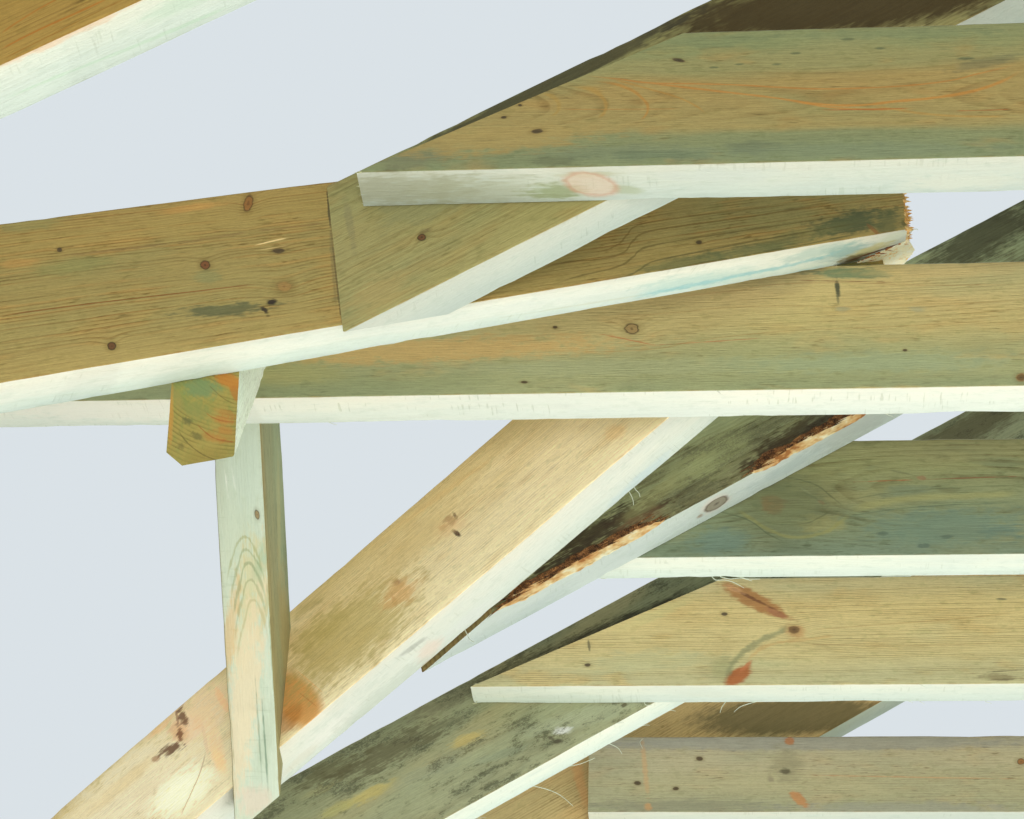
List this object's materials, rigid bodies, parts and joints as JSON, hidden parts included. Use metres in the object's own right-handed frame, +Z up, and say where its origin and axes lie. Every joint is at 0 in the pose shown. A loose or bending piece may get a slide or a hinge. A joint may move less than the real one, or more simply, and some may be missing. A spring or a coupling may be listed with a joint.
{
  "type": "timber roof frame",
  "caption": "Cut timber roof frame at a valley: common rafters and ceiling joists, valley rafters where a wing roof joins, and short jack rafters, in sawn treated softwood.",
  "frame": {"origin": "middle of the whole frame's box, on the floor that its feet stand on", "axes": "+X across the main ridge, from the valley feet towards the right rafters' feet; +Y along the main ridge, away from the picture's camera; +Z up"},
  "size_m": [7.0555, 3.2966, 2.1119],
  "materials": {
    "joist_timber": "sawn softwood, green pressure-treated, dull",
    "rafter_timber": "sawn softwood, green pressure-treated, dull",
    "valley_timber": "sawn softwood, green pressure-treated, dull",
    "jack_timber": "sawn softwood, green pressure-treated, dull",
    "ridge_timber": "sawn softwood, green pressure-treated, dull"
  },
  "bodies": {
    "root": {"ceiling_joist_1": "joist_timber", "ceiling_joist_2": "joist_timber", "ceiling_joist_3": "joist_timber", "ceiling_joist_4": "joist_timber", "ceiling_joist_5": "joist_timber", "left_rafter_1": "rafter_timber", "left_rafter_2": "rafter_timber", "left_rafter_3": "rafter_timber", "left_rafter_4": "rafter_timber", "left_rafter_5": "rafter_timber", "right_rafter_1": "rafter_timber", "right_rafter_2": "rafter_timber", "right_rafter_3": "rafter_timber", "right_rafter_4": "rafter_timber", "right_rafter_5": "rafter_timber", "right_rafter_6": "rafter_timber", "near_valley_rafter": "valley_timber", "far_valley_rafter": "valley_timber", "near_jack_rafter": "jack_timber", "far_jack_rafter": "jack_timber", "main_ridge_board": "ridge_timber", "wing_ridge_board": "ridge_timber"}
  },
  "joints": []
}
